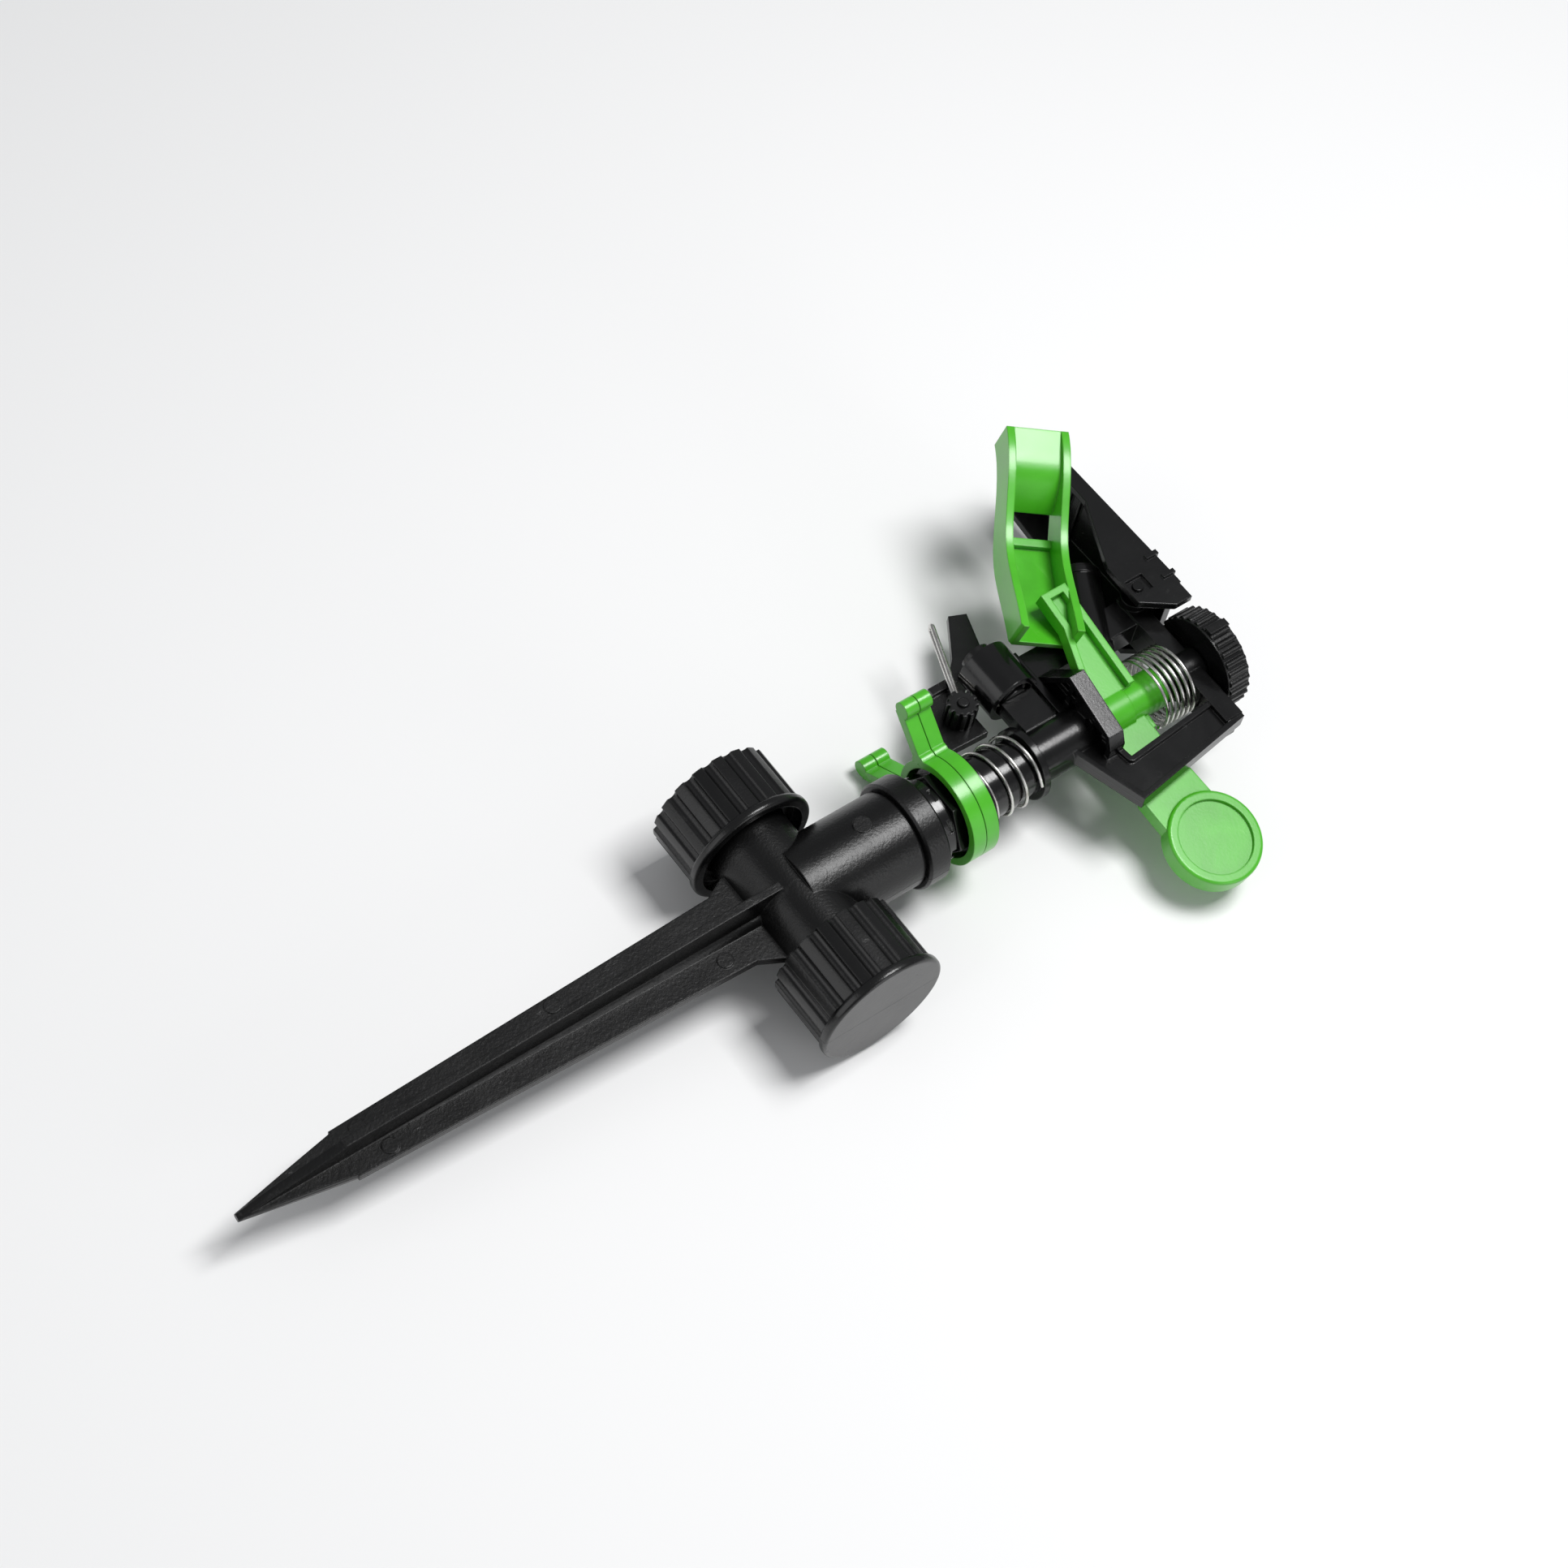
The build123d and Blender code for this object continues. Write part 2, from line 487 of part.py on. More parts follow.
# Edges of the spoon seen from above its middle line: along the spoon, and towards the front.
near_pts = [(SPOON_START, 13.0), (45.0, 8.0), (60.0, 4.5), (76.0, 9.5), (SPOON_END, 11.0)]
far_pts = [(SPOON_END, 0.0), (76.0, -1.5), (60.0, -7.0), (45.0, -3.5), (SPOON_START, 1.5)]
near_edge = Spline(*near_pts)
far_edge = Spline(*far_pts)
wall_edges = [near_edge, Line(near_pts[-1], far_pts[0]), far_edge, Line(far_pts[-1], near_pts[0])]
inner_w = SPOON_HALF_W - SPOON_WALL
spoon = spoon_slab(wall_edges, inner_w, SPOON_HALF_W)
spoon += spoon_slab(wall_edges, -SPOON_HALF_W, -inner_w)
web_out = Spline((SPOON_START, 1.5), (45.0, -3.5), (WEB_END, -7.0))
web_in = Spline((WEB_END, -5.0), (45.0, -1.5), (SPOON_START, 3.5))
web_edges = [web_out, Line((WEB_END, -7.0), (WEB_END, -5.0)), web_in,
             Line((SPOON_START, 3.5), (SPOON_START, 1.5))]
spoon += spoon_slab(web_edges, -inner_w, inner_w)
bar = Pos(WEB_END + 1.0, -4.6) * Rectangle(2.4, 3.0)
spoon += extrude(spoon_plane * (Pos(0, 0, -inner_w) * bar), 2 * inner_w)
vane_near = Spline((VANE_START, -1.0), (VANE_START + 3.0, 4.0), (VANE_START + 7.5, 8.2), (86.0, 10.0),
                   (SPOON_END, 11.0))
vane_far = Spline((SPOON_END, 7.6), (86.5, 6.6), (VANE_START + 9.0, 4.8), (VANE_START + 5.0, 1.6),
                  (VANE_START + 2.5, -2.5))
vane_edges = [vane_near, Line((SPOON_END, 11.0), (SPOON_END, 7.6)), vane_far,
              Line((VANE_START + 2.5, -2.5), (VANE_START, -1.0))]
spoon += spoon_slab(vane_edges, -inner_w, inner_w)
end_wall = Pos(SPOON_END - 1.2, 5.0) * Rectangle(2.4, 9.0)
spoon += extrude(spoon_plane * (Pos(0, 0, -inner_w) * end_wall), 2 * inner_w)
toe_z = TRIP_Z + TRIP_R + 0.6
toe = arm_plate([(10, toe_z - 35), (60, toe_z - 35), (60, toe_z), (10, toe_z)], -20, 20)
spoon -= toe
link_back = 3.6
link_line = [(3.0, LINK_LOW_Z), (9.0, LINK_LOW_Z), (25.0, LINK_LOW_Z + LINK_TAPER),
             (LINK_REACH, LINK_LOW_Z + LINK_TAPER), (LINK_REACH, LINK_HIGH_Z), (3.0, LINK_HIGH_Z)]
link = arm_plate(link_line, link_back, link_back + LINK_DEPTH)
link -= arm_plate([(0.0, LINK_LOW_Z + LINK_WALL), (9.0, LINK_LOW_Z + LINK_WALL),
                   (25.0, LINK_LOW_Z + LINK_TAPER + LINK_WALL), (LINK_REACH - 2, LINK_LOW_Z + LINK_TAPER + LINK_WALL),
                   (LINK_REACH - 2, LINK_HIGH_Z - LINK_WALL), (0.0, LINK_HIGH_Z - LINK_WALL)],
                  link_back + LINK_WALL, link_back + LINK_DEPTH + 1)
hub = rod(HUB_LOW_R, hub_z, HUB_STEP_Z) + rod(HUB_HIGH_R, HUB_STEP_Z, HUB_TOP_Z)
tail = arm_plate([(0, DISC_Z - 7), (-12, DISC_Z - 7), (-26, DISC_Z - 11.5),
                  (-DISC_RADIUS, DISC_Z - 10), (-DISC_RADIUS, DISC_Z + 9), (-25, DISC_Z + 6.6),
                  (-14, DISC_Z + 4.8), (0, DISC_Z + 4)], -TAIL_T / 2, TAIL_T / 2)
disc_place = arm_plane * Pos(-DISC_RADIUS, DISC_Z, 0)
disc = Cylinder(DISC_R, DISC_T)
disc = fillet(disc.edges().filter_by(GeomType.CIRCLE), 0.9)
disc -= Pos(0, 0, -DISC_T / 2) * Cylinder(DISC_RECESS_R, 2 * DISC_RECESS)
lug_top = ARM_SPRING_Z - 0.6
lug = arm_plate([(0, DISC_Z + 2), (-9.6, DISC_Z + 2), (-9.6, lug_top), (0, lug_top)], -1.3, 1.3)
arm = spoon + link + hub + tail + disc_place * disc + lug
arm -= rod(AXLE_R + RUN_GAP, PLATFORM_Z - 5, TOP_BAR_Z)
save("arm", arm)

# ---- arm spring with its two hooks ----
arm_spring = coil(ARM_SPRING_R, ARM_SPRING_WIRE, ARM_SPRING_Z + ARM_SPRING_WIRE / 2,
                  ARM_SPRING_LEN, ARM_SPRING_TURNS, ARM_ANGLE)
save("arm_spring", arm_spring)

# ---- diffuser flap and its hinge pin ----
roof_low = FLAP_ROOF_Z - FLAP_ROOF_T
side_line = [(FLAP_END_X, roof_low + 0.4), (FLAP_END_X + 2.0, roof_low - 2.4), (-54.0, roof_low - 2.6),
             (-33.0, roof_low - 12.0), (-28.5, PIN_Z - 3.6), (-19.0, PIN_Z - 3.6),
             (FLAP_REAR_X, roof_low - 3.5), (FLAP_REAR_X, FLAP_ROOF_Z - 0.6),
             (-22.0, FLAP_ROOF_Z - 0.6), (-22.0, FLAP_ROOF_Z), (FLAP_END_X, FLAP_ROOF_Z - 1.0)]
back_line = [(FLAP_END_X, roof_low - 4.0), (FLAP_END_X + 3.0, roof_low - 8.5), (-33.0, roof_low - 12.0)]
back_line += side_line[4:]
flap = slab_xz(side_line, -FLAP_HALF_W, FLAP_WALL - FLAP_HALF_W)
flap += slab_xz(back_line, FLAP_HALF_W - FLAP_WALL, FLAP_HALF_W)
roof = slab_xz([(FLAP_END_X, roof_low - 0.6), (FLAP_END_X, FLAP_ROOF_Z - 1.0), (-22.0, FLAP_ROOF_Z),
                (-18.5, FLAP_ROOF_Z), (-18.5, roof_low)], -FLAP_HALF_W, FLAP_HALF_W)
flap += roof
flap += block(-30.5, -29.0, -FLAP_HALF_W - 0.7, FLAP_HALF_W, roof_low - 1, FLAP_ROOF_Z + 0.6)
flap += block(-23.0, -21.6, -FLAP_HALF_W - 0.7, FLAP_HALF_W, roof_low - 1, FLAP_ROOF_Z + 0.6)
for i in range(5):
    x0 = FLAP_END_X + 6.0 + 4.0 * i
    flap += block(x0, x0 + 0.8, 0.5 - FLAP_HALF_W, FLAP_HALF_W - 0.5, roof_low - 1.4, roof_low + 1)
flap -= rod_y(FLAP_PIN_R + RUN_GAP, -30, 30, PIN_X, PIN_Z)
flap -= block(PIN_X - 2.6, PIN_X + 2.6, -FLAP_HALF_W - 2, -FLAP_HALF_W + 1.0, PIN_Z - 2.6, PIN_Z + 3.4)
flap -= rod(KNOB_R + 1.6, roof_low - 20, FLAP_ROOF_Z + 5)
save("flap", flap)
save("flap_pin", rod_y(FLAP_PIN_R, -FLAP_HALF_W + 0.3, FLAP_HALF_W - 0.3, PIN_X, PIN_Z))

# ---- range knob and its screw ----
knob = rod(KNOB_R - 0.9, knob_z, knob_z + KNOB_T)
for i in range(KNOB_RIBS):
    tooth = rod(0.95, knob_z + 0.4, knob_z + KNOB_T - 0.4, KNOB_R - 1.0, 0)
    knob += Rot(0, 0, 360.0 * i / KNOB_RIBS) * tooth
knob += Rot(0, 0, -90) * block(KNOB_R - 3, KNOB_R + 0.9, -1.2, 1.2, knob_z + 0.4, knob_z + KNOB_T - 0.4)
knob -= rod(KNOB_POST_R + RUN_GAP, knob_z - 1, knob_z + KNOB_T + 1)
knob -= rod(KNOB_R - 3.4, knob_z + 2.2, knob_z + KNOB_T - 2.2) - rod(6.5, knob_z, knob_z + KNOB_T)
save("range_knob", knob)
screw = rod(1.0, knob_z - 2.0, knob_z + KNOB_T + 0.4)
screw += rod(KNOB_SCREW_HEAD_R, knob_z + KNOB_T + 0.3, knob_z + KNOB_T + 2.2)
slot_z = knob_z + KNOB_T + 1.6
screw -= block(-5, 5, -0.4, 0.4, slot_z, slot_z + 3) + block(-0.4, 0.4, -2.6, 2.6, slot_z, slot_z + 3)
save("knob_screw", screw)

# ---- trip barrel, plunger, spring and pivot pin ----
trip_barrel = rod_x(TRIP_R, TRIP_START_X, TRIP_END_X, TRIP_Y, TRIP_Z)
trip_barrel -= rod_x(TRIP_CUP_R, TRIP_START_X + 4, TRIP_END_X + 1, TRIP_Y, TRIP_Z)
trip_barrel -= rod_x(TRIP_PIN_R, TRIP_START_X - 1, TRIP_START_X + 5, TRIP_Y, TRIP_Z)
save("trip_barrel", trip_barrel)
save("trip_pin", rod_x(TRIP_PIN_R, TRIP_START_X - LEVER_T - 1.4, TRIP_START_X + 3.9, TRIP_Y, TRIP_Z))

# ---- trip lever ----
lug_x = TRIP_START_X - FREE_GAP - LEVER_T
lever = rod_x(4.4, lug_x, lug_x + LEVER_T, TRIP_Y, TRIP_Z)
lever += block(lug_x, lug_x + LEVER_T, LEVER_Y - 1.2, LEVER_Y + LEVER_T, RATCHET_Z - 2, TRIP_Z)
lever += block(lug_x, lug_x + LEVER_T, TRIP_Y, LEVER_Y, TRIP_Z - 3.4, TRIP_Z + 3.4)
lever += slab_xz([(lug_x, TRIP_Z - TRIP_R - 1.4), (lug_x, RATCHET_Z), (-25.0, LEVER_BOTTOM_Z),
                  (-14.0, LEVER_BOTTOM_Z), (-13.6, TRIP_Z - TRIP_R - 1.4)],
                 LEVER_Y, LEVER_Y + LEVER_T)
lever += slab_xz([(lug_x, TRIP_Z - 8.0), (lug_x + 1.5, TRIP_Z - 2.0), (-38.0, TRIP_Z + 9.0),
                  (-50.0, TRIP_Z + 13.0), (-52.0, TRIP_Z + 8.0), (-40.0, TRIP_Z)], LEVER_Y + 5.0, LEVER_Y + 5.0 + LEVER_T)
lever += block(lug_x, lug_x + LEVER_T, LEVER_Y, LEVER_Y + 5.0 + LEVER_T,
               TRIP_Z - 9.0, TRIP_Z - 2.5)
lever -= rod_x(TRIP_PIN_R + RUN_GAP, lug_x - 5, lug_x + 5, TRIP_Y, TRIP_Z)
ratchet_y = LEVER_Y - 0.2
pivot = rod_y(1.5, ratchet_y - RATCHET_LEN - 0.8, LEVER_Y + 1, RATCHET_X, RATCHET_Z)
lever -= rod_y(1.5, LEVER_Y - 1, LEVER_Y + 1, RATCHET_X, RATCHET_Z)
save("trip_lever", lever)
save("wire_pivot", pivot)

# ---- ratchet hub and trip wire ----
ratchet = rod_y(RATCHET_R - 0.8, ratchet_y - RATCHET_LEN, ratchet_y, RATCHET_X, RATCHET_Z)
for i in range(RATCHET_TEETH):
    t = radians(360.0 * i / RATCHET_TEETH)
    tooth = Pos(RATCHET_X, 0, RATCHET_Z) * Rot(0, 360.0 * i / RATCHET_TEETH, 0)
    tooth = tooth * block(RATCHET_R - 1.6, RATCHET_R, ratchet_y - RATCHET_LEN, ratchet_y, -0.6, 0.6)
    ratchet += tooth
wire_y = ratchet_y - RATCHET_LEN / 2
w = radians(WIRE_ANGLE)
wire_dir = (-cos(w), sin(w))
leg_start = 3.4


def wire_place(s, y):
    """Point on the trip wire at a distance from its pivot."""
    return (RATCHET_X + wire_dir[0] * s, y, RATCHET_Z + wire_dir[1] * s)


leg_end = WIRE_LEN - WIRE_GAP / 2
leg_a = Line(wire_place(leg_start, wire_y - WIRE_GAP / 2), wire_place(leg_end, wire_y - WIRE_GAP / 2))
bend = ThreePointArc(wire_place(leg_end, wire_y - WIRE_GAP / 2), wire_place(WIRE_LEN, wire_y),
                     wire_place(leg_end, wire_y + WIRE_GAP / 2))
leg_b = Line(wire_place(leg_end, wire_y + WIRE_GAP / 2), wire_place(leg_start, wire_y + WIRE_GAP / 2))
wire_path = Wire([leg_a.edge(), bend.edge(), leg_b.edge()])
trip_wire = sweep(Plane(wire_path @ 0, z_dir=wire_path % 0) * Circle(WIRE_D / 2), path=wire_path)
save("trip_wire", trip_wire)
ratchet -= rod_y(1.5 + RUN_GAP, -30, 30, RATCHET_X, RATCHET_Z)
ratchet -= trip_wire
save("trip_ratchet", ratchet)

# ---- plunger and coil inside the trip barrel ----
plunger = rod_x(PLUNGER_R, TRIP_START_X + 9.0, TRIP_END_X + 0.4, TRIP_Y, TRIP_Z)
save("trip_plunger", plunger)
spring_turns = 4.0
trip_coil = coil(PLUNGER_R + 0.95, 0.8, 0.5, 8.4, spring_turns)
save("trip_spring", Pos(TRIP_START_X + 4.3, TRIP_Y, TRIP_Z) * Rot(0, 90, 0) * trip_coil)
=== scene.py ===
import math

import bmesh
import bpy
from mathutils import Matrix, Vector


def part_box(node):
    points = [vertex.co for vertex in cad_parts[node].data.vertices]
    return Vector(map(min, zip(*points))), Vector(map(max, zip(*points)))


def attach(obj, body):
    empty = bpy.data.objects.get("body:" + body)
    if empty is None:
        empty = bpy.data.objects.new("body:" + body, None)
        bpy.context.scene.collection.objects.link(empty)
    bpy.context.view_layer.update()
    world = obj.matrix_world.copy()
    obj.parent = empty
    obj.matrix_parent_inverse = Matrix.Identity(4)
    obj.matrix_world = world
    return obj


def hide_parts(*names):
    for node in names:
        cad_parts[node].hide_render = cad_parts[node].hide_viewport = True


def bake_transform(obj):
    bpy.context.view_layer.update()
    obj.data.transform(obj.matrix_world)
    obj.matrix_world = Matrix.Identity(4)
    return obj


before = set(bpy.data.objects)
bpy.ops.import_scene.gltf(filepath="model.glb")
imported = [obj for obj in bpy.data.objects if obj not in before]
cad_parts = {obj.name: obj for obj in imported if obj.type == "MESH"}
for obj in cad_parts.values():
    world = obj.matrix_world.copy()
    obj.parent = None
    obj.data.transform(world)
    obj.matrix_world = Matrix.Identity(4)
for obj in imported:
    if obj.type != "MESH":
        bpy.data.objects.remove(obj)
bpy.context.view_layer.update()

# ---- Camera, floor and lights ----
# The sprinkler lies on a pale table and is seen from above its hose-line side.
# The table is one sheet behind it, seen from the front only, lit by soft studio panels.
camera_right = Vector((0.591, -0.124, 0.797))
camera_up = Vector((-0.714, -0.539, 0.445))
camera_back = Vector((0.375, -0.832, -0.407))
camera_shift_right, camera_shift_up, camera_distance = -0.00221, 0.0292, 0.8
camera_data = bpy.data.cameras.new("studio_camera")
camera_data.lens = 71.55
camera_data.sensor_width = 36.0
camera_data.clip_start = 0.02
camera_data.clip_end = 20.0
camera = bpy.data.objects.new("studio_camera", camera_data)
bpy.context.scene.collection.objects.link(camera)
camera_turn = Matrix((camera_right, camera_up, camera_back)).transposed().to_4x4()
camera_place = (camera_right * camera_shift_right + camera_up * camera_shift_up
                + camera_back * camera_distance)
camera.matrix_world = Matrix.Translation(camera_place) @ camera_turn
bpy.context.scene.camera = camera

table_half_size = 2.5
table_grey = (0.83, 0.83, 0.83, 1)
table_roughness = 0.75
table_normal = Vector((0.0, -1.0, 0.022)).normalized()
table_point = Vector((0.0, 0.0202, 0.0))
table_side = table_normal.cross(Vector((0, 0, 1))).normalized() * table_half_size
table_rise = table_normal.cross(table_side).normalized() * table_half_size
table_corners = [table_point + table_side * a + table_rise * b
                 for a, b in ((-1, -1), (1, -1), (1, 1), (-1, 1))]
table_mesh = bpy.data.meshes.new("table_sheet")
table_mesh.from_pydata([tuple(c) for c in table_corners], [], [(0, 1, 2, 3)])
if table_mesh.polygons[0].normal.dot(table_normal) < 0:
    table_mesh.flip_normals()
table = bpy.data.objects.new("table_sheet", table_mesh)
bpy.context.scene.collection.objects.link(table)
table_paint = bpy.data.materials.new("pale_table")
table_paint.use_nodes = True
nodes, links = table_paint.node_tree.nodes, table_paint.node_tree.links
nodes["Principled BSDF"].inputs["Base Color"].default_value = table_grey
nodes["Principled BSDF"].inputs["Roughness"].default_value = table_roughness
table_side_seen = nodes.new("ShaderNodeNewGeometry")
table_clear = nodes.new("ShaderNodeBsdfTransparent")
table_mix = nodes.new("ShaderNodeMixShader")
links.new(table_side_seen.outputs["Backfacing"], table_mix.inputs[0])
links.new(nodes["Principled BSDF"].outputs[0], table_mix.inputs[1])
links.new(table_clear.outputs[0], table_mix.inputs[2])
links.new(table_mix.outputs[0], nodes["Material Output"].inputs[0])
table_mesh.materials.append(table_paint)

lights_aim = Vector((0.0, 0.0, 0.02))
# Places are along the camera's axes from the aim, in metres.
for name, right, up, back, size, watts in (
    ("key_panel", 0.50, 0.62, 0.75, 0.42, 11.5),
    ("fill_panel", -0.75, -0.1, 0.70, 0.8, 2.2),
    ("edge_panel", 0.75, -0.45, 0.45, 0.5, 1.6),
):
    panel_data = bpy.data.lights.new(name, "AREA")
    panel_data.size = size
    panel_data.energy = watts
    panel = bpy.data.objects.new(name, panel_data)
    bpy.context.scene.collection.objects.link(panel)
    panel.location = lights_aim + camera_right * right + camera_up * up + camera_back * back
    panel.rotation_mode = "QUATERNION"
    panel.rotation_quaternion = (lights_aim - panel.location).to_track_quat("-Z", "Y")
sky_colour, sky_strength = (0.95, 0.97, 1.0, 1), 0.26
world = bpy.data.worlds.new("studio_world")
world.use_nodes = True
world.node_tree.nodes["Background"].inputs["Color"].default_value = sky_colour
world.node_tree.nodes["Background"].inputs["Strength"].default_value = sky_strength
bpy.context.scene.world = world
bpy.context.scene.view_settings.view_transform = "Standard"


# ---- Spike, hose tube and riser ----
# One black polypropylene moulding: four ribs run to a point and the hose tube crosses
# above them. Its skin has a fine satin grain, a parting line and light handling scuffs.
def moulded_plastic_group():
    """Node group of injection-moulded plastic: flow clouds, grain, scuffs and a parting line."""
    g = bpy.data.node_groups.new("moulded_plastic", "ShaderNodeTree")
    put = g.interface.new_socket
    for name, kind, value in (
        ("Colour", "NodeSocketColor", (0.02, 0.02, 0.02, 1)),
        ("Worn Colour", "NodeSocketColor", (0.1, 0.1, 0.1, 1)),
        ("Gloss Roughness", "NodeSocketFloat", 0.3),
        ("Roughness Spread", "NodeSocketFloat", 0.12),
        ("Grain Scale", "NodeSocketFloat", 2200.0),
        ("Grain Depth", "NodeSocketFloat", 0.25),
        ("Edge Radius", "NodeSocketFloat", 0.0004),
        ("Wear", "NodeSocketFloat", 0.35),
        ("Parting Y", "NodeSocketFloat", 0.0),
    ):
        put(name=name, in_out="INPUT", socket_type=kind).default_value = value
    put(name="Colour", in_out="OUTPUT", socket_type="NodeSocketColor")
    put(name="Roughness", in_out="OUTPUT", socket_type="NodeSocketFloat")
    put(name="Normal", in_out="OUTPUT", socket_type="NodeSocketVector")
    n, l = g.nodes, g.links
    gin, gout = n.new("NodeGroupInput"), n.new("NodeGroupOutput")
    place = n.new("ShaderNodeTexCoord").outputs["Object"]
    stroke_turn = (0.4, 0.7, 0.2)

    def feed(value, socket):
        if hasattr(value, "links"):
            l.new(value, socket)
        else:
            socket.default_value = value

    def noise(scale, detail, rough=0.6, warp=0.0, squeeze=None):
        node = n.new("ShaderNodeTexNoise")
        feed(scale, node.inputs["Scale"])
        node.inputs["Detail"].default_value = detail
        node.inputs["Roughness"].default_value = rough
        node.inputs["Distortion"].default_value = warp
        source = place
        if squeeze:
            turn = n.new("ShaderNodeMapping")
            turn.inputs["Scale"].default_value = squeeze
            turn.inputs["Rotation"].default_value = stroke_turn
            l.new(place, turn.inputs["Vector"])
            source = turn.outputs[0]
        l.new(source, node.inputs["Vector"])
        return node.outputs["Fac"]

    def maths(kind, a, b=None, clamp=False):
        node = n.new("ShaderNodeMath")
        node.operation = kind
        node.use_clamp = clamp
        feed(a, node.inputs[0])
        if b is not None:
            feed(b, node.inputs[1])
        return node.outputs[0]

    def window(value, low, high):
        node = n.new("ShaderNodeMapRange")
        node.inputs["From Min"].default_value = low
        node.inputs["From Max"].default_value = high
        l.new(value, node.inputs["Value"])
        return node.outputs[0]

    # Masks: soft clouds, strokes of scuffs, specks of dust, worn edges, the parting line.
    clouds = noise(scale=55.0, detail=4.0, warp=0.6)
    grain = noise(scale=gin.outputs["Grain Scale"], detail=3.0)
    strokes_y = noise(scale=180.0, detail=5.0, rough=0.7, warp=0.3, squeeze=(1.0, 0.06, 1.0))
    strokes_x = noise(scale=240.0, detail=5.0, rough=0.7, warp=0.3, squeeze=(0.05, 1.0, 0.8))
    strokes = maths("ADD", window(strokes_y, 0.63, 0.70), window(strokes_x, 0.66, 0.72), True)
    scuffs = maths("MULTIPLY", strokes, window(clouds, 0.45, 0.62))
    dust = window(noise(scale=1500.0, detail=1.0, rough=0.4), 0.71, 0.76)
    bevel = n.new("ShaderNodeBevel")
    bevel.samples = 4
    l.new(gin.outputs["Edge Radius"], bevel.inputs["Radius"])
    shape = n.new("ShaderNodeNewGeometry")
    facing = n.new("ShaderNodeVectorMath")
    facing.operation = "DOT_PRODUCT"
    l.new(bevel.outputs[0], facing.inputs[0])
    l.new(shape.outputs["Normal"], facing.inputs[1])
    flat_cosine, sharp_cosine = 0.995, 0.86
    edge_mask = window(facing.outputs["Value"], flat_cosine, sharp_cosine)
    edges = maths("MULTIPLY", edge_mask, window(clouds, 0.3, 0.7))
    apart = n.new("ShaderNodeSeparateXYZ")
    l.new(place, apart.inputs[0])
    line_foot, line_top = 0.00022, 0.00008
    off_line = maths("SUBTRACT", apart.outputs["Y"], gin.outputs["Parting Y"])
    line = window(maths("ABSOLUTE", off_line), line_foot, line_top)

    # Colour: the cloud-shaded plastic, with the worn colour where edges, scuffs and dust are.
    edge_share, dust_share, cloud_shading = 0.8, 0.10, 0.35
    wear = maths("ADD", maths("MULTIPLY", edges, edge_share), scuffs, True)
    wear = maths("MULTIPLY", wear, gin.outputs["Wear"])
    wear = maths("ADD", wear, maths("MULTIPLY", dust, dust_share), True)
    tone = n.new("ShaderNodeMix")
    tone.data_type = "RGBA"
    l.new(wear, tone.inputs["Factor"])
    shade = n.new("ShaderNodeMix")
    shade.data_type = "RGBA"
    shade.blend_type = "MULTIPLY"
    shade.inputs["Factor"].default_value = cloud_shading
    grey = n.new("ShaderNodeCombineColor")
    cloud_grey = window(clouds, 0.1, 0.75)
    for channel in ("Red", "Green", "Blue"):
        l.new(cloud_grey, grey.inputs[channel])
    l.new(gin.outputs["Colour"], shade.inputs["A"])
    l.new(grey.outputs[0], shade.inputs["B"])
    l.new(shade.outputs["Result"], tone.inputs["A"])
    l.new(gin.outputs["Worn Colour"], tone.inputs["B"])
    l.new(tone.outputs["Result"], gout.inputs["Colour"])

    # Roughness: spread by the clouds and duller where the skin is worn.
    cloud_middle, worn_dulling = 0.5, 0.35
    spread = maths("SUBTRACT", clouds, cloud_middle)
    spread = maths("MULTIPLY", spread, gin.outputs["Roughness Spread"])
    rough = maths("ADD", gin.outputs["Gloss Roughness"], spread)
    rough = maths("ADD", rough, maths("MULTIPLY", wear, worn_dulling), True)
    l.new(rough, gout.inputs["Roughness"])

    # Relief: grain, parting line and clouds stand up, scuffs are cut in.
    grain_rise, line_rise, scuff_depth, cloud_rise = 0.5, 0.9, 0.3, 0.6
    height = maths("ADD", maths("MULTIPLY", grain, grain_rise),
                   maths("MULTIPLY", line, line_rise))
    height = maths("SUBTRACT", height, maths("MULTIPLY", scuffs, scuff_depth))
    height = maths("ADD", height, maths("MULTIPLY", clouds, cloud_rise))
    bump = n.new("ShaderNodeBump")
    bump.inputs["Distance"].default_value = 0.0002
    l.new(gin.outputs["Grain Depth"], bump.inputs["Strength"])
    l.new(height, bump.inputs["Height"])
    l.new(bevel.outputs[0], bump.inputs["Normal"])
    l.new(bump.outputs[0], gout.inputs["Normal"])
    return g


moulded_plastic = moulded_plastic_group()
no_parting_line = 0.5


def plastic_finish(name, **values):
    """Material with the moulded plastic effect; values name the effect's inputs."""
    material = bpy.data.materials.new(name)
    material.use_nodes = True
    n, l = material.node_tree.nodes, material.node_tree.links
    shader = n["Principled BSDF"]
    effect = n.new("ShaderNodeGroup")
    effect.node_tree = moulded_plastic
    for key, value in values.items():
        socket = effect.inputs[key.replace("_", " ")]
        socket.default_value = (*value, 1) if isinstance(value, tuple) else value
    l.new(effect.outputs["Colour"], shader.inputs["Base Color"])
    l.new(effect.outputs["Roughness"], shader.inputs["Roughness"])
    l.new(effect.outputs["Normal"], shader.inputs["Normal"])
    return material


def tune_shader(material, **values):
    """Constants on a material's own shader; values name the shader's inputs."""
    shader = material.node_tree.nodes["Principled BSDF"]
    for key, value in values.items():
        shader.inputs[key.replace("_", " ")].default_value = value


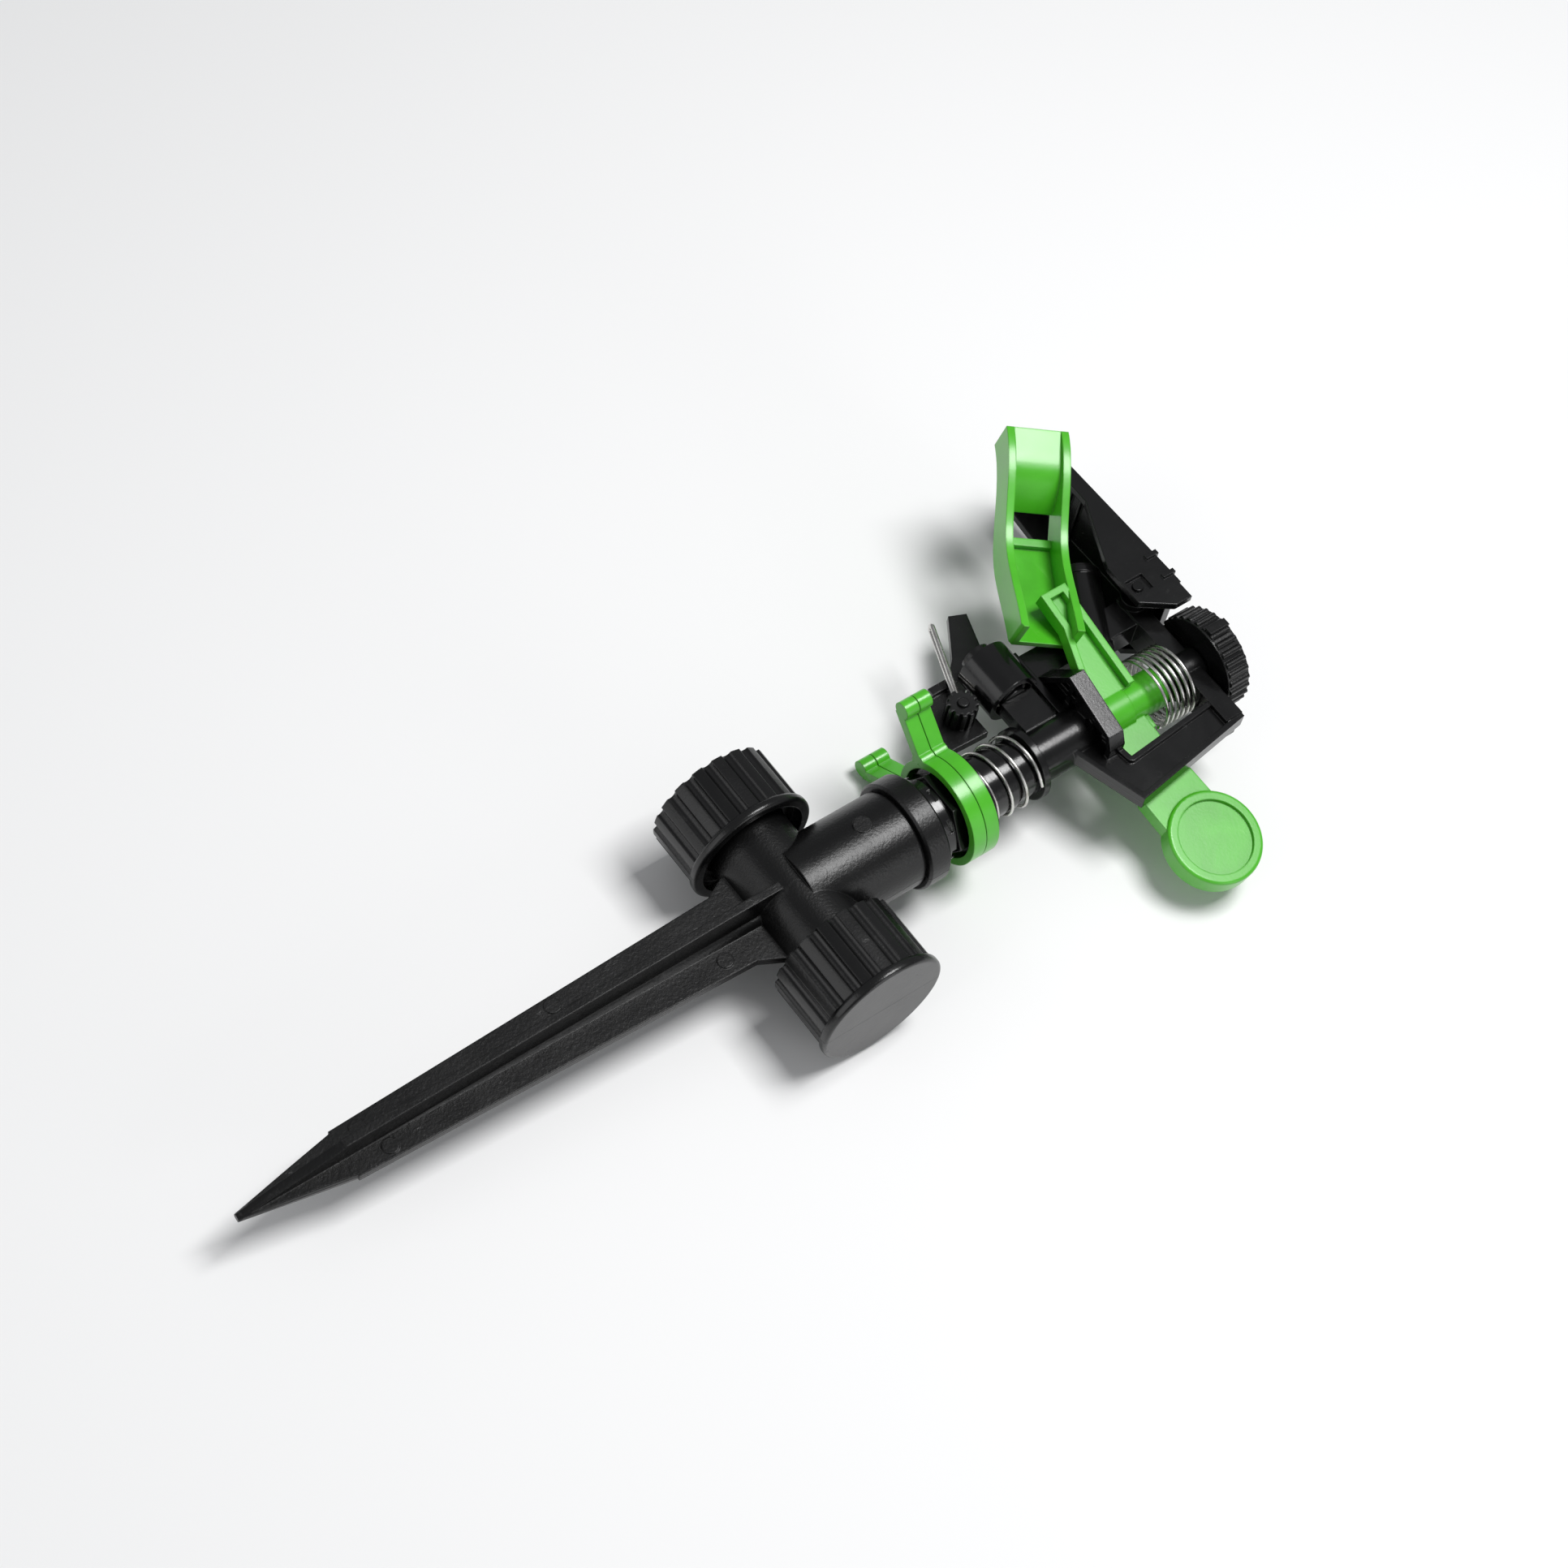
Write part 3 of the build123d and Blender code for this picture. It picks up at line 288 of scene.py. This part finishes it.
def dress(node, material):
    """Puts a finish on a node and shades it smooth up to the crease angle."""
    crease_degrees = 35.0
    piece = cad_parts[node]
    piece.data.materials.clear()
    piece.data.materials.append(material)
    for face in piece.data.polygons:
        face.use_smooth = True
        face.material_index = 0
    crisp = piece.modifiers.new("crisp_edges", "EDGE_SPLIT")
    crisp.split_angle = math.radians(crease_degrees)


satin_black = plastic_finish(
    "satin_black_plastic", Colour=(0.0035, 0.0035, 0.0036), Worn_Colour=(0.035, 0.035, 0.035),
    Gloss_Roughness=0.32, Roughness_Spread=0.2, Grain_Scale=1250.0, Grain_Depth=0.75,
    Edge_Radius=0.0005, Wear=0.22)
tune_shader(satin_black, Specular_IOR_Level=0.35)
dress("spike_body", satin_black)

# ---- Caps on the hose line ----
# The end cap and the swivel nut are ribbed black mouldings, a little glossier than the
# spike. The nut's thread is one helical ridge inside its mouth, faded out at both ends.
cap_black = plastic_finish(
    "cap_black_plastic", Colour=(0.0035, 0.0035, 0.0036), Worn_Colour=(0.035, 0.035, 0.035),
    Gloss_Roughness=0.24, Roughness_Spread=0.16, Grain_Scale=1300.0, Grain_Depth=0.35,
    Edge_Radius=0.0006, Wear=0.2)
dress("end_cap", cap_black)
dress("hose_nut", cap_black)

thread_pitch, thread_turns, thread_steps = 0.0022, 3.2, 40
thread_wall, thread_crest = 0.01322, 0.01262
thread_inset, thread_half_foot, thread_half_crest = 0.0008, 0.0007, 0.0002
thread_fade_steps, thread_least_rise = 12, 0.02
nut_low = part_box("hose_nut")[0]
thread = bmesh.new()
rows = []
for i in range(int(thread_turns * thread_steps) + 1):
    angle = 2 * math.pi * i / thread_steps
    steps_left = thread_turns * thread_steps - i
    rise = min(1.0, i / thread_fade_steps, steps_left / thread_fade_steps)
    crest = thread_wall - (thread_wall - thread_crest) * max(rise, thread_least_rise)
    along = nut_low[0] + thread_inset + thread_pitch * angle / (2 * math.pi)
    rows.append([thread.verts.new((along + dx, r * math.cos(angle), r * math.sin(angle)))
                 for dx, r in ((-thread_half_foot, thread_wall), (-thread_half_crest, crest),
                               (thread_half_crest, crest), (thread_half_foot, thread_wall))])
for a, b in zip(rows, rows[1:]):
    for k in range(4):
        thread.faces.new((a[k], a[(k + 1) % 4], b[(k + 1) % 4], b[k]))
thread.faces.new(rows[0][::-1])
thread.faces.new(rows[-1])
bmesh.ops.recalc_face_normals(thread, faces=thread.faces)
thread_mesh = bpy.data.meshes.new("hose_nut_thread")
thread.to_mesh(thread_mesh)
thread.free()
thread_piece = bpy.data.objects.new("hose_nut_thread", thread_mesh)
bpy.context.scene.collection.objects.link(thread_piece)
thread_mesh.materials.append(cap_black)
for face in thread_mesh.polygons:
    face.use_smooth = True
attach(thread_piece, "hose_nut")

# ---- Rubber washers and gasket ----
# Flat rings cut from black nitrile sheet: one in the end cap, one in the swivel nut and
# one under the bearing nipple. They are dull, slightly dusty and soft at the edges.
rubber = plastic_finish(
    "washer_rubber", Colour=(0.016, 0.016, 0.016), Worn_Colour=(0.12, 0.12, 0.115),
    Gloss_Roughness=0.72, Roughness_Spread=0.15, Grain_Scale=1100.0, Grain_Depth=0.5,
    Edge_Radius=0.0003, Wear=0.4)
tune_shader(rubber, Specular_IOR_Level=0.3)
for node in ("end_cap_washer", "hose_washer", "nipple_gasket"):
    dress(node, rubber)

# ---- Bearing nipple ----
# Glossy black acetal with a castellated ring and a hexagon, screwed down into the riser.
# The same finish serves the other small glossy pieces further on.
gloss_black = plastic_finish(
    "gloss_black_plastic", Colour=(0.003, 0.003, 0.0031), Worn_Colour=(0.04, 0.04, 0.04),
    Gloss_Roughness=0.17, Roughness_Spread=0.14, Grain_Scale=1300.0, Grain_Depth=0.14,
    Edge_Radius=0.00045, Wear=0.18)
tune_shader(gloss_black, Specular_IOR_Level=0.55)
dress("bearing_nipple", gloss_black)

# ---- Stop clips ----
# Two equal bright green rings of springy acetal, each with two wings rolled at the ends,
# gripped on the drum and pushed round by hand to set the watered sector.
green_colour, worn_green_colour = (0.075, 0.47, 0.018), (0.20, 0.58, 0.10)
green = plastic_finish(
    "bright_green_plastic", Colour=green_colour, Worn_Colour=worn_green_colour,
    Gloss_Roughness=0.29, Roughness_Spread=0.14, Grain_Scale=1400.0, Grain_Depth=0.16,
    Edge_Radius=0.0005, Wear=0.3)
tune_shader(green, Coat_Weight=0.15, Coat_Roughness=0.12)
dress("lower_stop_clip", green)
dress("upper_stop_clip", green)

# ---- Stem, sleeve and thrust washers ----
# The black stem turns in the nipple on two white nylon washers; the stepped sleeve stands
# round it and carries the spring. The arm's thin washer is of the same nylon.
dress("stem_tube", gloss_black)
dress("spring_sleeve", gloss_black)
nylon = plastic_finish(
    "white_nylon", Colour=(0.70, 0.69, 0.64), Worn_Colour=(0.5, 0.48, 0.42),
    Gloss_Roughness=0.42, Roughness_Spread=0.15, Grain_Scale=1200.0, Grain_Depth=0.2,
    Edge_Radius=0.0003, Wear=0.3)
for node in ("thrust_washers", "arm_washer"):
    dress(node, nylon)


# ---- Stem spring ----
# Round stainless wire wound loosely round the sleeve in a plain coil of a little over
# three turns. It turns with the head, and its steel shows draw lines and faint stains.
def drawn_wire_group():
    """Node group of drawn stainless wire: fine draw lines and stains."""
    g = bpy.data.node_groups.new("drawn_wire", "ShaderNodeTree")
    put = g.interface.new_socket
    for name, kind, value in (
        ("Colour", "NodeSocketColor", (0.6, 0.59, 0.57, 1)),
        ("Stain Colour", "NodeSocketColor", (0.3, 0.28, 0.25, 1)),
        ("Roughness", "NodeSocketFloat", 0.22),
    ):
        put(name=name, in_out="INPUT", socket_type=kind).default_value = value
    for name, kind in (("Colour", "Color"), ("Roughness", "Float"), ("Normal", "Vector")):
        put(name=name, in_out="OUTPUT", socket_type="NodeSocket" + kind)
    n, l = g.nodes, g.links
    gin, gout = n.new("NodeGroupInput"), n.new("NodeGroupOutput")
    place = n.new("ShaderNodeTexCoord").outputs["Object"]
    lines, stains = n.new("ShaderNodeTexNoise"), n.new("ShaderNodeTexNoise")
    squeeze = n.new("ShaderNodeMapping")
    squeeze.inputs["Scale"].default_value = (0.2, 0.2, 1.0)
    l.new(place, squeeze.inputs["Vector"])
    l.new(squeeze.outputs[0], lines.inputs["Vector"])
    l.new(place, stains.inputs["Vector"])
    lines.inputs["Scale"].default_value = 4200.0
    lines.inputs["Detail"].default_value = 2.0
    stains.inputs["Scale"].default_value = 260.0
    stains.inputs["Detail"].default_value = 5.0
    mask = n.new("ShaderNodeMapRange")
    mask.inputs["From Min"].default_value = 0.5
    mask.inputs["From Max"].default_value = 0.75
    l.new(stains.outputs["Fac"], mask.inputs["Value"])
    tone = n.new("ShaderNodeMix")
    tone.data_type = "RGBA"
    l.new(mask.outputs[0], tone.inputs["Factor"])
    l.new(gin.outputs["Colour"], tone.inputs["A"])
    l.new(gin.outputs["Stain Colour"], tone.inputs["B"])
    l.new(tone.outputs["Result"], gout.inputs["Colour"])
    line_dulling = 0.25
    dull = n.new("ShaderNodeMath")
    dull.operation = "MULTIPLY_ADD"
    dull.inputs[1].default_value = line_dulling
    l.new(lines.outputs["Fac"], dull.inputs[0])
    l.new(gin.outputs["Roughness"], dull.inputs[2])
    l.new(dull.outputs[0], gout.inputs["Roughness"])
    bump = n.new("ShaderNodeBump")
    bump.inputs["Strength"].default_value = 0.25
    bump.inputs["Distance"].default_value = 0.00008
    l.new(lines.outputs["Fac"], bump.inputs["Height"])
    l.new(bump.outputs[0], gout.inputs["Normal"])
    return g


drawn_wire = drawn_wire_group()


def metal_finish(name, colour, stain, roughness):
    """Material of bare metal with the drawn wire effect."""
    material = bpy.data.materials.new(name)
    material.use_nodes = True
    n, l = material.node_tree.nodes, material.node_tree.links
    shader = n["Principled BSDF"]
    shader.inputs["Metallic"].default_value = 1.0
    effect = n.new("ShaderNodeGroup")
    effect.node_tree = drawn_wire
    effect.inputs["Colour"].default_value = (*colour, 1)
    effect.inputs["Stain Colour"].default_value = (*stain, 1)
    effect.inputs["Roughness"].default_value = roughness
    l.new(effect.outputs["Colour"], shader.inputs["Base Color"])
    l.new(effect.outputs["Roughness"], shader.inputs["Roughness"])
    l.new(effect.outputs["Normal"], shader.inputs["Normal"])
    return material


steel = metal_finish("stainless_wire", (0.62, 0.61, 0.59), (0.36, 0.34, 0.31), 0.16)


def bent_wire(name, points, radius, material):
    """Round wire along the given points, as one mesh with closed ends."""
    curve = bpy.data.curves.new(name + "_line", "CURVE")
    curve.dimensions = "3D"
    run = curve.splines.new("NURBS")
    run.points.add(len(points) - 1)
    for p, at in zip(run.points, points):
        p.co = (*at, 1.0)
    run.order_u = 4
    run.use_endpoint_u = True
    run.resolution_u = 3
    curve.bevel_depth = radius
    curve.bevel_resolution = 4
    curve.use_fill_caps = True
    holder = bpy.data.objects.new(name + "_line", curve)
    bpy.context.scene.collection.objects.link(holder)
    bpy.context.view_layer.update()
    mesh = bpy.data.meshes.new_from_object(holder)
    bpy.data.objects.remove(holder)
    mesh.name = name
    piece = bpy.data.objects.new(name, mesh)
    bpy.context.scene.collection.objects.link(piece)
    mesh.materials.clear()
    mesh.materials.append(material)
    for face in mesh.polygons:
        face.use_smooth = True
    return piece


def coil_points(mean, low, high, turns, start):
    """Points of a coil about Z between two heights, starting at an angle in degrees."""
    points_per_turn = 20
    count = int(turns * points_per_turn)
    found = []
    for i in range(count + 1):
        t = math.radians(start) + 2 * math.pi * turns * i / count
        found.append((mean * math.cos(t), mean * math.sin(t), low + (high - low) * i / count))
    return found


stem_wire, stem_turns, stem_start = 0.0005, 3.4, 200.0
low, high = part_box("stem_spring")
stem_mean = (high[0] - low[0]) / 2 - stem_wire
stem_coil = coil_points(stem_mean, low[2] + stem_wire, high[2] - stem_wire,
                        stem_turns, stem_start)
stem_spring = bent_wire("stem_spring_wire", stem_coil, stem_wire, steel)
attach(stem_spring, "head")
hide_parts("stem_spring")

# ---- Head body, nozzle tip, axle and spring anchor ----
# The glossy black head is one moulding with the frame, platform and nozzle barrel. The
# tip is pressed in, the steel axle is pushed through and the hexagonal anchor sits on it.
head_black = plastic_finish(
    "head_black_plastic", Colour=(0.003, 0.003, 0.0031), Worn_Colour=(0.04, 0.04, 0.04),
    Gloss_Roughness=0.2, Roughness_Spread=0.16, Grain_Scale=1200.0, Grain_Depth=0.16,
    Edge_Radius=0.0005, Wear=0.18, Parting_Y=-0.00225)
tune_shader(head_black, Specular_IOR_Level=0.55)
for node in ("head_body", "nozzle_tip", "spring_anchor"):
    dress(node, head_black)
dress("arm_axle", steel)

# ---- Hammer arm ----
# One green moulding: hub, link, spoon with two cheeks and a curved vane, tail and round
# counterweight disc. The jet strikes the vane, and the spring brings the arm back.
arm_green = plastic_finish(
    "arm_green_plastic", Colour=green_colour, Worn_Colour=worn_green_colour,
    Gloss_Roughness=0.31, Roughness_Spread=0.14, Grain_Scale=1400.0, Grain_Depth=0.16,
    Edge_Radius=0.0006, Wear=0.3, Parting_Y=no_parting_line)
tune_shader(arm_green, Coat_Weight=0.15, Coat_Roughness=0.12)
dress("arm", arm_green)


# ---- Arm spring ----
# Six turns of stainless wire round the axle. The lower end hooks down behind the arm's
# lug, and the upper end turns in to the anchor, so the coil winds up as the arm swings.
def round_axle(radius, degrees, height):
    """Point at a radius, angle and height round the axle."""
    angle = math.radians(degrees)
    return (radius * math.cos(angle), radius * math.sin(angle), height)


arm_wire, arm_turns, arm_start = 0.0005, 6.0, 12.0
low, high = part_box("arm_spring")
arm_mean = (high[0] - low[0]) / 2 - arm_wire
arm_coil = coil_points(arm_mean, low[2] + arm_wire, high[2] - arm_wire, arm_turns, arm_start)
coil_bottom, coil_top = arm_coil[0][2], arm_coil[-1][2]
hook_low = [round_axle(arm_mean, degrees, coil_bottom - drop)
            for degrees, drop in ((3.0, 0.0012), (4.0, 0.0005))]
hook_high = [round_axle(reach, degrees, coil_top)
             for degrees, reach in ((24.0, arm_mean * 0.97), (32.0, 0.0082), (36.0, 0.0066))]
arm_spring = bent_wire("arm_spring_wire", hook_low + arm_coil + hook_high, arm_wire, steel)
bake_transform(arm_spring)
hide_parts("arm_spring")

# ---- Deflector flap and pin ----
# A black channel of thin moulded walls that hangs over the jet on a moulded pin. Its skin
# is a little duller than the head's, and the range knob and trip lever share the finish.
flap_black = plastic_finish(
    "flap_black_plastic", Colour=(0.0035, 0.0035, 0.0036), Worn_Colour=(0.04, 0.04, 0.04),
    Gloss_Roughness=0.24, Roughness_Spread=0.18, Grain_Scale=1200.0, Grain_Depth=0.18,
    Edge_Radius=0.0006, Wear=0.22, Parting_Y=no_parting_line)
dress("flap", flap_black)
dress("flap_pin", gloss_black)

# ---- Range knob and screw ----
# The ribbed black knob stands on the head's post. One steel screw holds it down, of a
# darker and duller steel than the wire.
dress("range_knob", flap_black)
screw_steel = metal_finish("screw_steel", (0.55, 0.54, 0.53), (0.3, 0.29, 0.27), 0.24)
dress("knob_screw", screw_steel)

# ---- Trip barrel, pin, plunger and coil ----
# The reversing spring and its plunger sit in a black barrel under the jet.
# A steel pin carries the lever.
for node in ("trip_barrel", "trip_plunger"):
    dress(node, gloss_black)
dress("trip_pin", screw_steel)
dress("trip_spring", steel)

# ---- Trip lever, pivot and ratchet ----
# Black acetal pieces that tip over together when the wire meets a stop clip.
# The toothed ratchet turns on its pivot at the lever's foot.
for node in ("trip_lever", "wire_pivot", "trip_ratchet"):
    dress(node, flap_black)

# ---- Trip wire ----
# A hairpin of stainless wire pressed into the ratchet, bent round at its free end.
# Folded down, it meets the wings of the stop clips.
dress("trip_wire", steel)
